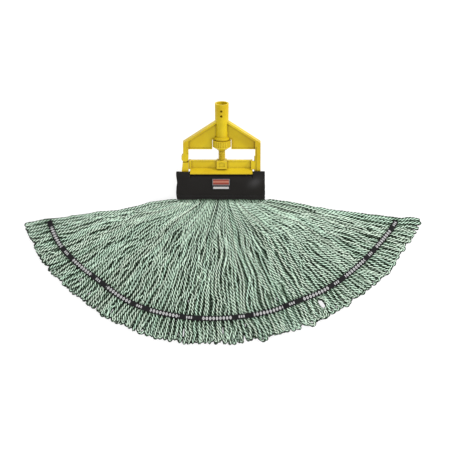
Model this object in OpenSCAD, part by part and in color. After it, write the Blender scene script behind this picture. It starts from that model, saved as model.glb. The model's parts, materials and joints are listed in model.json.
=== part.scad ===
// Fan-tail wet mop with a side-gate clamp head.
// +Z is up and Z = 0 is the floor that the yarn lies on. The yarn fans out towards -Y,
// and the handle socket rises towards +Y. X = 0 is the centre plane.
// The clamp is drawn upright in its own frame: socket along +Z, front face towards -Y,
// hinge towards -X, latch towards +X, Z = 0 at the top of the folded headband.
// place_clamp() leans it to its working angle.

/* [Stance] */
// Angle of the handle socket above the floor, in degrees
socket_tilt = 32; // [20:1:50]
// Height of the line where the yarn flexes below the headband, above the floor
flex_height = 12; // [11:0.5:16]

/* [Handle socket] */
// Outside diameter of the socket tube at its mouth
tube_od = 33.4; // [32:0.2:36]
// Outside diameter of the lower, narrower part of the tube
neck_od = 28; // [27.4:0.2:29]
// Inside diameter of the socket, for a 1 inch handle
socket_bore = 25.6; // [24:0.1:26.4]
// Height of the mouth of the socket above the headband fold
tube_top = 172; // [166:1:190]
// Height of the lower end of the socket tube
tube_bottom = 82; // [81:0.5:84]
// Height of the floor that the handle stands on inside the socket
socket_floor = 121; // [120:1:128]
// Diameter of the two handle screw holes
screw_hole_d = 6; // [4:0.2:6.4]

/* [Clamp frame] */
// Half width of the frame over its legs
frame_half = 92.5; // [88:0.5:98]
// Width of each leg, seen from the front
leg_w = 13; // [11:0.5:14]
// Depth of the legs and the flange, front to back
frame_depth = 19; // [17:0.5:20]
// Height of the shoulder where the sloping flange meets the leg
shoulder_z = 75.5; // [73:0.5:80]
// Height where the sloping flange meets the tube
slope_top_z = 126.5; // [122:0.5:132]
// Thickness of the sloping flange, measured straight down
slope_t = 5.2; // [4:0.2:8]
// Height of the lower edge of the web
web_bottom = 59; // [56:0.5:62]
// Thickness of the web
web_t = 4; // [3:0.5:5]

/* [Wheel and screw] */
// Diameter of the thumb wheel
wheel_d = 43.5; // [40:0.5:46]
// Number of grip flutes on the wheel
flutes = 26; // [18:1:30]
// Lead of the clamp screw thread
thread_lead = 5; // [4:0.5:6]
// Mean radius of the clamp screw
screw_r = 7.8; // [6.8:0.1:7.9]
// Offset of the round thread section from the screw's axis
thread_offset = 0.85; // [0.6:0.05:0.9]

/* [Jaw and gate] */
// Length of the jaw from the centre plane to its hinge-side end
jaw_left = 75.7; // [72:0.1:76]
// Length of the jaw from the centre plane to its latch-side end
jaw_right = 73.1; // [70:0.1:73.5]
// Height of the top of the jaw web
jaw_top = 30; // [26:1:32]
// Half thickness of the gate bar inside the fold
gate_r = 5; // [4:0.2:5.2]
// Height of the gate hinge
pivot_z = 37; // [34:0.5:40]
// Distance of the gate hinge from the centre plane
pivot_x = 88; // [87:0.5:89]

/* [Mop head] */
// Half width of the headband
band_half = 106; // [98:1:112]
// How far the headband sits off the centre plane, towards the hinge
band_shift = 2.4; // [0:0.2:3]
// Height of each half of the folded headband
band_h = 66; // [58:1:72]
// Length of the yarn at the middle of the fan
yarn_mid = 339; // [300:1:380]
// Extra length of the yarn at the two ends of the fan
yarn_side = 35; // [0:1:40]
// How much longer the yarn is on the hinge side than the latch side, at most a third each way
yarn_skew = 31; // [0:1:40]
// Half angle of the fan, in degrees
fan_half = 83; // [60:1:84]
// Width of the tail band tape
tape_w = 12; // [10:0.5:14]

/* [Hidden] */
$fn = 48;

yellow = [0.90, 0.73, 0.08];
green = [0.55, 0.66, 0.57];
black = [0.07, 0.07, 0.075];
steel = [0.70, 0.70, 0.72];
brass = [0.80, 0.66, 0.16];
thread_grey = [0.16, 0.16, 0.17];
label_red = [0.75, 0.14, 0.10];

flex_gap = 13;                       // from the headband's lower edge to the flex line
flex_z = -(band_h + flex_gap);       // the flex line in the clamp's own frame

// frame
half_depth = frame_depth / 2;
leg_in = frame_half - leg_w;         // inner face of the legs
right_leg_bottom = -27;
legs_top = 61;                       // the legs run up into the flange
recess_top = 65;                     // top of the shallow recesses in the legs
recess_depth = 1.2;
neck_top = 112;
tube_start = 127;                    // where the tube has widened from the neck
tube_taper = 1.2;                    // how much narrower the tube is there than at its mouth
collar_r = 18;
notch_half = wheel_d / 2 + 0.9;      // half width of the wheel notch in the web
handle_hole_zs = [156.2, 143.7];

// wheel and screw
wheel_top = 80;
wheel_rim_z = 64.5;                  // lower edge of the wheel's straight rim
spigot_r = 10.9;                     // the wheel's spigot, inside the neck
snap_rib_z = 88.9;
snap_rib_h = 2.4;
shank_r = 8.3;                       // the screw's plain shank
shank_z = 18.4;
cross_pin_z = 21.4;
cross_pin_r = 1.5;

// hinge, gate and latch
ear_r = pivot_x - leg_in;            // the hinge ears end flush with the inner face of the leg
hinge_pin_r = 3;
gate_end = 72.4;                     // free end of the gate bar
gate_bar_bottom = -21.5;
latch_x = 84;                        // latch pin
latch_z = 33;
latch_pin_r = 2;
blade_in = 77.4;                     // inner and outer face of the latch blade
blade_out = 84.8;
blade_t = 9.6;
groove_out = leg_in + 9.1;           // outer wall of the groove for the latch blade
spring_t = 0.6;

// headband
band_in = 11.6;                      // inner and outer radius of the outer cloth's fold
band_out = 13.1;
band_l = -band_half - band_shift;    // ends of the headband
band_r = band_half - band_shift;
fold_z = -band_out;                  // centre of the fold's arch
fold_left = -75.5;                   // ends of the fold between the legs
fold_right = 73.4;
flap_in = 77.2;                      // inner edge of the flaps' raised parts
sheet_bottom = -30;                  // lower edge of the inner layers' arched part
stitch_r = 0.3;

// ---------------------------------------------------------------- helpers
module place_clamp() {
    translate([0, 0, flex_height])
        rotate([-(90 - socket_tilt), 0, 0])
            translate([0, 0, -flex_z]) children();
}

// A flat bar from start to end with round ends.
module round_bar(start, end, width) {
    run = end - start;
    translate(start) rotate(atan2(run[1], run[0]))
        translate([0, -width / 2]) square([norm(run), width]);
    translate(start) circle(d = width);
    translate(end) circle(d = width);
}

// Stands a shape drawn in X and Z up on its plane, centred on Y = 0.
module plate(thickness) {
    rotate([90, 0, 0]) translate([0, 0, -thickness / 2]) linear_extrude(thickness) children();
}

// Runs a shape drawn in Y and Z along X, from x0.
module along_x(x0, length) {
    rotate([90, 0, 90]) translate([0, 0, x0]) linear_extrude(length) children();
}

// A box centred on Y = 0, from its lowest x and z.
module slab(x, z, size) {
    translate([x, -size[1] / 2, z]) cube(size);
}

// A cylinder or cone on the Z axis, from radius r0 at z to r1 at z + h.
module drum(z, h, r0, r1, sides) {
    translate([0, 0, z]) cylinder(r1 = r0, r2 = r1, h = h, $fn = sides);
}

// A round bar along Y.
module y_bar(x, z, r, y0, y1) {
    translate([x, y1, z]) rotate([90, 0, 0]) cylinder(r = r, h = y1 - y0);
}

module hinge_bar(r, y0, y1) y_bar(-pivot_x, pivot_z, r, y0, y1);
module latch_bar(r, y0, y1) y_bar(latch_x, latch_z, r, y0, y1);

// The cross pin through screw and jaw, also the cutter for its hole.
module cross_bar(length) {
    translate([0, 0, cross_pin_z]) rotate([0, 90, 0])
        cylinder(r = cross_pin_r, h = length, center = true);
}

// A twisted round section, turned to suit the height z0, so that every use of it is in mesh.
module thread(r, z0, h) {
    translate([0, 0, z0]) rotate([0, 0, 360 * z0 / thread_lead])
        linear_extrude(height = h, twist = -360 * h / thread_lead,
                       slices = ceil(h / thread_lead * 12), $fn = 18)
            translate([thread_offset, 0]) circle(r = r, $fn = 18);
}

// ---------------------------------------------------------------- clamp frame
// Height of the flange's outer edge at x, on a straight line from the tube to the shoulder.
function slope_z(x) = slope_top_z
    + (shoulder_z - slope_top_z) * (x - tube_od / 2) / (frame_half - tube_od / 2);

module flange_shape() {
    start = 8;                       // inside the tube's wall
    leg_bottom = 60;
    for (m = [0, 1]) mirror([m, 0]) polygon([
        [start, slope_z(start)], [frame_half, slope_z(frame_half)],
        [frame_half, leg_bottom], [leg_in, leg_bottom],
        [leg_in, slope_z(leg_in) - slope_t], [start, slope_z(start) - slope_t]]);
}

module web_shape() {
    top_half = tube_od / 2 - 4;
    foot_half = frame_half - 4;
    polygon([[-top_half, slope_top_z - 3], [top_half, slope_top_z - 3],
             [foot_half, shoulder_z - 2], [foot_half, web_bottom],
             [-foot_half, web_bottom], [-foot_half, shoulder_z - 2]]);
}

// Socket tube, widening above a narrower neck, with a collar round the neck's foot.
module socket_tube() {
    start_r = (tube_od - tube_taper) / 2;
    neck_r = neck_od / 2;
    drum(tube_start, tube_top - tube_start, start_r, tube_od / 2, 96);
    drum(neck_top, tube_start - neck_top, neck_r, start_r, 96);
    drum(tube_bottom, neck_top - tube_bottom, neck_r, neck_r, 96);
    drum(tube_bottom, 1.6, collar_r - 0.8, collar_r, 96);
    drum(tube_bottom + 1.6, 3.8, collar_r, collar_r, 96);
    drum(tube_bottom + 5.4, 2.2, collar_r, neck_r, 96);
}

// Recessed web with the wheel notch, the notch's rim and the bead along the lower edge.
module web() {
    rim_t = 8;
    rim_w = 2;
    bead_h = 2.4;
    bead_len = leg_in + 1 - notch_half;
    z0 = web_bottom - 1;
    plate(web_t) difference() {
        web_shape();
        translate([-notch_half, z0]) square([2 * notch_half, tube_bottom - z0]);
    }
    for (s = [-1, 1]) {
        slab(s * (notch_half + 1) - 1, z0, [rim_w, rim_t, tube_bottom + 2 - z0]);
        slab(s > 0 ? notch_half : -leg_in - 1, z0, [bead_len, 7, bead_h]);
    }
    slab(-notch_half - rim_w, tube_bottom, [2 * notch_half + 2 * rim_w, rim_t, bead_h]);
}

module legs() {
    // left leg, down to the hinge ears
    slab(-frame_half, pivot_z, [leg_w, frame_depth, legs_top - pivot_z]);
    hinge_bar(ear_r, -half_depth, half_depth);
    // right leg, down past the gate
    slab(leg_in, right_leg_bottom, [leg_w, frame_depth, legs_top - right_leg_bottom]);
}

// Handle socket, and below it the bore for the screw and the wheel's spigot,
// with the groove that keeps the wheel in.
module socket_cuts() {
    bore_r = spigot_r + 0.08;
    groove_r = spigot_r + 1.4;
    drum(socket_floor, tube_top - socket_floor + 1, socket_bore / 2, socket_bore / 2, 96);
    drum(tube_bottom - 1, neck_top - tube_bottom + 1, bore_r, bore_r, 96);
    drum(snap_rib_z - 0.5, snap_rib_h + 1, groove_r, groove_r, 96);
    // handle screw holes in the front wall
    for (z = handle_hole_zs) y_bar(-1.3, z, screw_hole_d / 2, -tube_od, 0);
}

module leg_cuts() {
    recess_w = 5.2;
    right_z = right_leg_bottom - 1;
    left_z = pivot_z + 11;
    // slot for the hinge tongue of the gate arm, and the hinge pin's hole
    slab(-pivot_x - 12, pivot_z - 12, [24, 8.4, 22]);
    hinge_bar(hinge_pin_r, -20, 20);
    // groove for the latch blade, open at the inner face and the bottom
    slab(leg_in - 1, right_z, [groove_out - leg_in + 1, blade_t + 1.2, 68]);
    // latch pin hole from the rear
    latch_bar(latch_pin_r, -8, 20);
    // shallow recess down the inner part of each leg's front and rear face
    for (y = [-half_depth - 1, half_depth - recess_depth]) {
        translate([leg_in - 1, y, right_z])
            cube([recess_w, recess_depth + 1, recess_top - right_z]);
        translate([-leg_in - recess_w + 1, y, left_z])
            cube([recess_w, recess_depth + 1, recess_top - left_z]);
    }
}

module frame() color(yellow) place_clamp() difference() {
    union() {
        socket_tube();
        web();
        plate(frame_depth) flange_shape();
        legs();
    }
    socket_cuts();
    leg_cuts();
}

module gate_hinge_pin() color(yellow) place_clamp() union() {
    hinge_bar(hinge_pin_r, -half_depth, half_depth + 3);
    // head, behind the washer
    hinge_bar(5, half_depth + 1.3, half_depth + 3);
}

module hinge_pin_washer() color(steel) place_clamp() difference() {
    hinge_bar(6, half_depth + 0.05, half_depth + 1.25);
    hinge_bar(hinge_pin_r, half_depth - 1, half_depth + 3);
}

module latch_pin() color(yellow) place_clamp() latch_bar(latch_pin_r, -8, half_depth);

// Bent strip that lies on the groove's outer wall and leans inwards above.
module latch_spring() color(steel) place_clamp() {
    foot = [groove_out - spring_t / 2, 0];
    bend = [groove_out - 3.3, 14];
    tip = [groove_out - 2.9, 16.5];
    plate(7) union() {
        translate([groove_out - spring_t, -11]) square([spring_t, 11.4]);
        round_bar(foot, bend, spring_t);
        round_bar(bend, tip, spring_t);
    }
}

// ---------------------------------------------------------------- wheel and screw
module thumb_wheel() color(yellow) place_clamp() difference() {
    wheel_r = wheel_d / 2;
    hub_r = 15;
    bore_r = 9.25;
    union() {
        drum(wheel_rim_z, wheel_top - wheel_rim_z, wheel_r, wheel_r, 96);
        drum(wheel_top, 0.8, wheel_r, wheel_r - 1, 96);
        drum(60, wheel_rim_z - 60, hub_r, wheel_r, 96);
        drum(57, 3, 11.8, hub_r, 96);
        // spigot with the snap rib that turns in the tube's groove
        drum(wheel_top, 13.4, spigot_r, spigot_r, 64);
        drum(snap_rib_z, snap_rib_h, spigot_r + 1, spigot_r + 1, 64);
    }
    for (i = [0 : flutes - 1]) rotate([0, 0, i * 360 / flutes])
        translate([wheel_r + 0.5, 0, wheel_rim_z + 2]) cylinder(r = 1.75, h = 16, $fn = 16);
    // internal thread, with a plain bore below and above it
    thread(screw_r + 0.45, 58.6, 11.4);
    drum(56, 2.8, bore_r, bore_r, 48);
    drum(69.8, 40, bore_r, bore_r, 48);
}

module thrust_washer() color(brass) place_clamp() difference() {
    hole_r = spigot_r + 0.16;
    drum(tube_bottom - 1.1, 1.1, 16.8, 16.8, 64);
    drum(tube_bottom - 3, 5, hole_r, hole_r, 64);
}

module clamp_screw() color(yellow) place_clamp() difference() {
    union() {
        thread(screw_r, 31.6, 63.2);
        // plain shank that drops into the jaw's boss
        drum(shank_z, 12.6, shank_r, shank_r, 64);
        drum(shank_z + 12.6, 1, shank_r, 7, 64);
        // tapered tip
        drum(94.6, 1, 6.4, 5.4, 48);
    }
    cross_bar(60);
}

module screw_cross_pin() color(steel) place_clamp() cross_bar(24.6);

// ---------------------------------------------------------------- jaw
// Front half of the skirts over the fold, as [distance from the centre, z].
skirt_points = [[0, 11.6], [3.5, 11], [15.6, 1.6], [15.6, -0.9], [13.8, -0.9],
                [2.5, 7.6], [0, 7.6]];
// Section of a pressure rib inside the skirts, as [y, z].
rib_points = [[-2.4, 0.35], [2.4, 0.35], [9.5, 3.4], [2.4, 8.4], [-2.4, 8.4], [-9.5, 3.4]];
rib_t = 2.4;

module jaw_body() {
    length = jaw_left + jaw_right;
    // upright web and its top bead
    slab(-jaw_left, 1, [length, 5, jaw_top - 1]);
    slab(-jaw_left, jaw_top - 2.4, [length, 7.2, 2.4]);
    for (m = [0, 1]) mirror([0, m, 0]) along_x(-jaw_left, length) polygon(skirt_points);
    for (x = [-60 : 20 : 60]) along_x(x - rib_t / 2, rib_t) polygon(rib_points);
}

// Shoe beside the hinge-side leg, block at the latch-side end, and the block's
// front cheek, which reaches out to the latch-side leg.
module jaw_guides() {
    gap = 0.3;
    block_x = jaw_right - 3.2;
    block_z = 8.6;
    slab(-leg_in + gap, 9, [6.4, 12, jaw_top - 9]);
    translate([block_x, -9, block_z]) cube([3.2, 14, jaw_top - block_z]);
    translate([block_x, -9, block_z]) cube([leg_in - gap - block_x, 3.6, jaw_top - block_z]);
}

// Boss for the screw, with a collar round its mouth.
module jaw_boss() {
    slab(-12.4, 10.6, [24.8, 21.2, jaw_top - 10.6]);
    drum(jaw_top - 1, 2.2, 12, 10.4, 64);
}

module clamp_jaw() color(yellow) place_clamp() difference() {
    union() {
        jaw_body();
        jaw_guides();
        jaw_boss();
    }
    // hole for the screw's shank
    drum(shank_z - 0.3, 30, shank_r + 0.1, shank_r + 0.1, 64);
    // shallow recess in the boss's front face
    translate([-7, -20, 15.4]) cube([14, 10.7, 9.6]);
    cross_bar(60);
}

// ---------------------------------------------------------------- gate and latch
module side_gate() color(yellow) place_clamp() difference() {
    tongue_t = 7.8;
    tongue_z = 24;
    bar_x = -leg_in - 2;
    bar_len = gate_end - bar_x;
    union() {
        // hinge tongue
        hinge_bar(ear_r - 0.7, -tongue_t / 2, tongue_t / 2);
        slab(-frame_half + 0.4, tongue_z, [leg_w - 0.8, tongue_t, pivot_z - tongue_z]);
        // arm, flaring out a little towards its foot
        plate(frame_depth) polygon([
            [-leg_in, -22], [-leg_in, 26.6], [-frame_half - 0.6, 26.6],
            [-frame_half - 4.2, -4], [-frame_half - 4.2, -19], [-frame_half - 1.2, -22]]);
        // bar with a round top, inside the fold
        translate([bar_x, 0, fold_z]) rotate([0, 90, 0]) cylinder(r = gate_r, h = bar_len);
        slab(bar_x, gate_bar_bottom, [bar_len, 2 * gate_r, fold_z - gate_bar_bottom]);
    }
    hinge_bar(hinge_pin_r + 0.05, -20, 20);
    // pockets in the bar's underside
    for (x = [-66 : 22 : 30]) slab(x, gate_bar_bottom - 1.5, [19, 5.2, 8]);
}

module gate_latch() color(yellow) place_clamp() difference() {
    hook_x = gate_end + 0.6;
    union() {
        // blade, standing a little proud of the leg's inner face
        slab(blade_in, -26, [blade_out - blade_in, blade_t, 52]);
        slab(blade_in, 20, [4.6, blade_t, 19]);
        latch_bar(3.9, -blade_t / 2, blade_t / 2);
        slab(80, 22, [blade_out - 80, blade_t, 9]);
        // hook that swings under the free end of the gate bar
        slab(hook_x, -26.6, [blade_out - hook_x, blade_t, 3.6]);
    }
    latch_bar(latch_pin_r + 0.05, -20, 20);
    // the blade is thinner between its two ends
    slab(82.6, -18, [6, 40, 30]);
}

// ---------------------------------------------------------------- headband
// An inverted U, from radius r0 to r1 about the fold, x0 to x1, hanging down to bottom.
module u_sheet(r0, r1, x0, x1, bottom) {
    along_x(x0, x1 - x0) difference() {
        union() {
            translate([0, fold_z]) circle(r = r1, $fn = 64);
            translate([-r1, bottom]) square([2 * r1, fold_z - bottom]);
        }
        translate([0, fold_z]) circle(r = r0, $fn = 64);
        translate([-r0, bottom - 1]) square([2 * r0, fold_z - bottom + 1]);
    }
}

module headband_outer() color(black) place_clamp() union() {
    cloth = band_out - band_in;
    lap = 1;                         // the flaps run this far into the fold's ends
    rise_z = -10;                    // lower edge of the flaps' raised parts
    u_sheet(band_in, band_out, fold_left, fold_right, -band_h);
    // front and rear flaps that pass outside the legs, as [y, top of the raised part]
    for (flap = [[-band_out, 4.5], [band_in, -3.5]]) {
        y = flap[0];
        rise = flap[1] - rise_z;
        translate([band_l, y, -band_h]) cube([fold_left + lap - band_l, cloth, band_h - 3.5]);
        translate([fold_right - lap, y, -band_h])
            cube([band_r - fold_right + lap, cloth, band_h - 3.5]);
        translate([band_l, y, rise_z]) cube([-flap_in - band_l, cloth, rise]);
        translate([flap_in, y, rise_z]) cube([band_r - flap_in, cloth, rise]);
    }
}

// A layer inside the outer cloth: arched between the legs, flat and wider below.
// hem is how far it stops above the headband's lower edge.
module inner_layer(r0, r1, hem) {
    u_sheet(r0, r1, fold_left + 1, fold_right, sheet_bottom);
    for (y = [-r1, r0]) translate([band_l + 4, y, -band_h + hem])
        cube([2 * band_half - 8, r1 - r0, band_h + sheet_bottom - hem]);
}

module headband_inner() color(black) place_clamp() inner_layer(r0 = 5.3, r1 = 6.2, hem = 1);
module yarn_core() color(green) place_clamp() inner_layer(r0 = 6.4, r1 = 11.4, hem = 0.6);

module headband_stitching() color(thread_grey) place_clamp() for (m = [-1, 1]) {
    y = m * (band_out + stitch_r);
    // three rows along the lower edge
    for (row = [4, 9, 14]) translate([-band_shift, y, -band_h + row]) rotate([0, 90, 0])
        cylinder(r = stitch_r, h = 2 * band_half - 8, center = true, $fn = 13);
    // one row up each end
    for (s = [-1, 1]) translate([s * (band_half - 3) - band_shift, y, -band_h + 15])
        cylinder(r = stitch_r, h = band_h - 20, $fn = 13);
}

module headband_label() color(label_red) place_clamp()
    translate([-24, -band_out - 0.75, -43]) cube([44, 0.7, 31]);

// ---------------------------------------------------------------- yarn fan
// t runs across the fan, from -1 at the hinge side to 1 at the latch side.
fan_steps = 44;
function fan_t(i) = -1 + 2 * i / fan_steps;

// Stations from the root to the tips: [share of the yarn's length, top, middle, underside].
fan_stations = [
    [-0.012, 24, 12, 0], [0.18, 22.4, 11.4, 0], [0.45, 19, 9.9, 0],
    [0.77, 15.2, 8, 0], [0.80, 15, 8, 1.1], [0.872, 15, 8, 1.1],
    [0.90, 14.6, 7.8, 0], [0.96, 13.6, 7.4, 0], [1, 12.4, 7, 1.6]];
top_z = [for (s = fan_stations) s[1]];
mid_z = [for (s = fan_stations) s[2]];
low_z = [for (s = fan_stations) s[3]];

// Share of the yarn's length where the tail band crosses it: it was laid by hand, so it
// wanders a little.
function bell(x, centre, width) = exp(-pow((x - centre) / width, 2));
function band_at(t) = 0.833 + 0.022 * bell(t, -0.86, 0.12) - 0.018 * bell(t, -0.57, 0.12)
    - 0.012 * bell(t, 0.34, 0.09) + 0.013 * bell(t, 1, 0.12);

// The stations beside the tail band follow it.
function station(j, t) = fan_stations[j][0] + (j > 2 && j < 7 ? band_at(t) - 0.836 : 0);
function yarn_len(t) =
    yarn_mid + yarn_side * pow(abs(t), 5) - yarn_skew * t * pow(1 - t * t, 2);
function root_x(t) = band_half * t * (1.5 - 0.5 * t * t);
// Point on the fan at distance r from the root.
function fan_point(t, r) = [root_x(t) + r * sin(fan_half * t), -r * cos(fan_half * t)];

// Two triangles over the corners a, b, c, d.
function quad(a, b, c, d) = [[a, b, c], [a, c, d]];

// A closed sheet over the fan between the heights low[j] and high[j] at each station.
module fan_sheet(low, high) {
    count = len(fan_stations);
    last = count - 1;
    end = fan_steps;
    points = [for (k = [0, 1]) for (i = [0 : end]) for (j = [0 : last])
        let (t = fan_t(i))
            concat(fan_point(t, yarn_len(t) * station(j, t)), [k == 0 ? low[j] : high[j]])];
    // index of a point: k is 0 on the lower face and 1 on the upper
    function id(k, i, j) = (k * (end + 1) + i) * count + j;
    faces = concat(
        // upper and lower face
        [for (i = [0 : end - 1]) for (j = [0 : last - 1]) each concat(
            quad(id(1, i, j), id(1, i + 1, j), id(1, i + 1, j + 1), id(1, i, j + 1)),
            quad(id(0, i, j), id(0, i, j + 1), id(0, i + 1, j + 1), id(0, i + 1, j)))],
        // root and tips
        [for (i = [0 : end - 1]) each concat(
            quad(id(0, i, 0), id(0, i + 1, 0), id(1, i + 1, 0), id(1, i, 0)),
            quad(id(0, i, last), id(1, i, last), id(1, i + 1, last), id(0, i + 1, last)))],
        // hinge-side and latch-side ends
        [for (j = [0 : last - 1]) each concat(
            quad(id(0, 0, j), id(1, 0, j), id(1, 0, j + 1), id(0, 0, j + 1)),
            quad(id(0, end, j), id(0, end, j + 1), id(1, end, j + 1), id(1, end, j)))]);
    polyhedron(points = points, faces = faces, convexity = 6);
}

module yarn_front() color(green) fan_sheet([for (z = mid_z) z + 0.1], top_z);

module yarn_rear() color(green) union() {
    fan_sheet(low_z, [for (z = mid_z) z - 0.1]);
    // flat block on the floor under the flex line, reaching out under the fan's root
    translate([-60, -40, 0]) cube([120, 43.8, 5]);
}

// ---------------------------------------------------------------- tail band
// A line across the yarn, offset outwards from the tail band's centre line.
function tape_edge(offset) = [for (i = [0 : fan_steps])
    let (t = fan_t(i)) fan_point(t, yarn_len(t) * band_at(t) + offset)];
function turned(list) = [for (i = [len(list) - 1 : -1 : 0]) list[i]];

module strip_shape(inner, outer) polygon(concat(tape_edge(inner), turned(tape_edge(outer))));
module tape_shape() strip_shape(-tape_w / 2, tape_w / 2);

module tail_band_front() color(black) translate([0, 0, 15.2]) linear_extrude(1) tape_shape();
module tail_band_rear() color(black) linear_extrude(0.9) tape_shape();
module tail_band_stitching() color(thread_grey) for (row = [-4.6, 4.6])
    translate([0, 0, 16.25]) linear_extrude(0.4) strip_shape(row - stitch_r, row + stitch_r);

frame();
gate_hinge_pin();
hinge_pin_washer();
latch_pin();
latch_spring();
thumb_wheel();
thrust_washer();
clamp_screw();
clamp_jaw();
screw_cross_pin();
side_gate();
gate_latch();
headband_outer();
headband_inner();
yarn_core();
headband_stitching();
headband_label();
yarn_front();
yarn_rear();
tail_band_front();
tail_band_rear();
tail_band_stitching();
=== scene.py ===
"""A yarn mop head held in a yellow plastic clamp, lying on the floor.

Metres, +Z up, floor at z = 0. The headband runs along X near the origin, and the yarn fans
out from it towards -Y in a front (upper) and a rear (lower) bank, crossed by a tail band.
The clamp has a tilted frame of its own: x across, "out" of its front, "up" its socket.
"""
import json
import math

import bpy
import numpy as np
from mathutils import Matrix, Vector


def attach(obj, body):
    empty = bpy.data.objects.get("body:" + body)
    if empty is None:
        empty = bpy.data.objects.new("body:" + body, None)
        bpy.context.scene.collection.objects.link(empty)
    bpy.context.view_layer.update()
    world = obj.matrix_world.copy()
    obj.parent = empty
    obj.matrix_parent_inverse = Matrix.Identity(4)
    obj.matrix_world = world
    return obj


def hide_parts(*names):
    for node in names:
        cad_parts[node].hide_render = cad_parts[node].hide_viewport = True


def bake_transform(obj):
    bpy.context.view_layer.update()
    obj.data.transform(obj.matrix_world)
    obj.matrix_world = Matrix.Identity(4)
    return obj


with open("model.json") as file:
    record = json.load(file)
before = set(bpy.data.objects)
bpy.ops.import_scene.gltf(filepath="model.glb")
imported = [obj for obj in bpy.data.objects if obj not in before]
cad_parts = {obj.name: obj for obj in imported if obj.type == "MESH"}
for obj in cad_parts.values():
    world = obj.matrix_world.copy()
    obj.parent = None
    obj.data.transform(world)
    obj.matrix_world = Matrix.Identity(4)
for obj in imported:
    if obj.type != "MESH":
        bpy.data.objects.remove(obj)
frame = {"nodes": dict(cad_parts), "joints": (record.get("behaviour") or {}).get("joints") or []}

MM = 0.001
TURN = 2 * math.pi


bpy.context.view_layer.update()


# ---------------------------------------------------------------- small maths
def unit(vectors):
    return vectors / np.linalg.norm(vectors, axis=-1, keepdims=True)


def smoothstep(x):
    x = np.clip(x, 0.0, 1.0)
    return x * x * (3 - 2 * x)


def bell(x, centre, width):
    return np.exp(-((x - centre) / width) ** 2)


def smooth_noise(rows, cols, cells_row, cells_col, rng):
    """Smooth random values on a rows by cols grid, from a coarse grid of random numbers."""
    coarse = rng.normal(size=(cells_row + 3, cells_col + 3))
    a = np.linspace(0, cells_row, rows)
    b = np.linspace(0, cells_col, cols)
    ia, ib = a.astype(int), b.astype(int)
    fa, fb = smoothstep(a - ia)[:, None], smoothstep(b - ib)[None, :]
    near = coarse[ia][:, ib] * (1 - fa) + coarse[ia + 1][:, ib] * fa
    far = coarse[ia][:, ib + 1] * (1 - fa) + coarse[ia + 1][:, ib + 1] * fa
    return near * (1 - fb) + far * fb


def distance_along(points):
    """Distance from the first point, along the last-but-one axis."""
    steps = np.linalg.norm(np.diff(points, axis=-2), axis=-1)
    return np.concatenate([np.zeros_like(steps[..., :1]), np.cumsum(steps, -1)], -1)


# ---------------------------------------------------------------- the clamp's own frame
joints = {j["name"]: j for j in frame["joints"]}
UP = unit(np.array(joints["jaw_slide"]["axis"], float))       # up along the handle socket
OUT = unit(-np.array(joints["gate_swing"]["axis"], float))    # out of the clamp's front
FLEX = np.array(joints["yarn_swing"]["pos_m"], float)         # on the line where the yarn flexes
GATE = np.array(joints["gate_swing"]["pos_m"], float)
GATE_UP = 0.037                                               # gate hinge above the fold
FLEX_UP = GATE_UP - float((GATE - FLEX) @ UP)


def clamp_point(x, out, up):
    """World point for x across, out of the front, and up the socket (0 at the fold)."""
    x, out, up = np.broadcast_arrays(*(np.asarray(c, float) for c in (x, out, up)))
    point = FLEX + (up - FLEX_UP)[..., None] * UP + out[..., None] * OUT
    point[..., 0] += x
    return point


# ---------------------------------------------------------------- mesh helpers
def make_mesh(name, verts, faces, material, smooth_shade=True, attrs=None):
    """faces is an (n, sides) array of vertex numbers; attrs maps a name to vertex values."""
    verts = np.asarray(verts, np.float32)
    faces = np.asarray(faces, np.int32)
    mesh = bpy.data.meshes.new(name)
    mesh.vertices.add(len(verts))
    mesh.vertices.foreach_set("co", verts.ravel())
    sides = faces.shape[1]
    mesh.loops.add(faces.size)
    mesh.loops.foreach_set("vertex_index", faces.ravel())
    mesh.polygons.add(len(faces))
    mesh.polygons.foreach_set("loop_start", np.arange(0, faces.size, sides, dtype=np.int32))
    mesh.polygons.foreach_set("loop_total", np.full(len(faces), sides, np.int32))
    mesh.update(calc_edges=True)
    mesh.validate()
    for attr_name, values in (attrs or {}).items():
        attribute = mesh.attributes.new(attr_name, "FLOAT", "POINT")
        attribute.data.foreach_set("value", np.asarray(values, np.float32).ravel())
    if smooth_shade:
        mesh.polygons.foreach_set("use_smooth", np.ones(len(mesh.polygons), bool))
    ob = bpy.data.objects.new(name, mesh)
    bpy.context.scene.collection.objects.link(ob)
    set_material(ob, material)
    return ob


def set_material(ob, material):
    ob.data.materials.clear()
    ob.data.materials.append(material)


def tube_grid(rings, cols):
    """Vertex numbers of a tube, one row for each ring, and the quads round its side."""
    grid = np.arange(rings * cols).reshape(rings, cols)
    near, far = grid[:-1], grid[1:]
    quads = np.stack([near, np.roll(near, -1, 1), np.roll(far, -1, 1), far], -1)
    return grid, quads.reshape(-1, 4)


def repeat_faces(faces, copies, verts_each):
    return (faces[None] + (np.arange(copies) * verts_each)[:, None, None]).reshape(-1, 4)


def register(ob, slot, rides, *replaced):
    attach(ob, rides)
    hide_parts(*replaced)


# ---------------------------------------------------------------- shader helpers
class Field:
    """A node's output. Each operator on it adds one Math node."""

    def __init__(self, shader, socket):
        self.shader = shader
        self.socket = socket

    def __add__(self, other):
        return self.shader.math("ADD", self, other)

    def __sub__(self, other):
        return self.shader.math("SUBTRACT", self, other)

    def __mul__(self, other):
        return self.shader.math("MULTIPLY", self, other)

    def __truediv__(self, other):
        return self.shader.math("DIVIDE", self, other)

    def __lt__(self, other):
        return self.shader.math("LESS_THAN", self, other)

    def __gt__(self, other):
        return self.shader.math("GREATER_THAN", self, other)

    def __abs__(self):
        return self.shader.math("ABSOLUTE", self)

    def linear(self, gain, offset):
        return self.shader.math("MULTIPLY_ADD", self, gain, offset)


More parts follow.
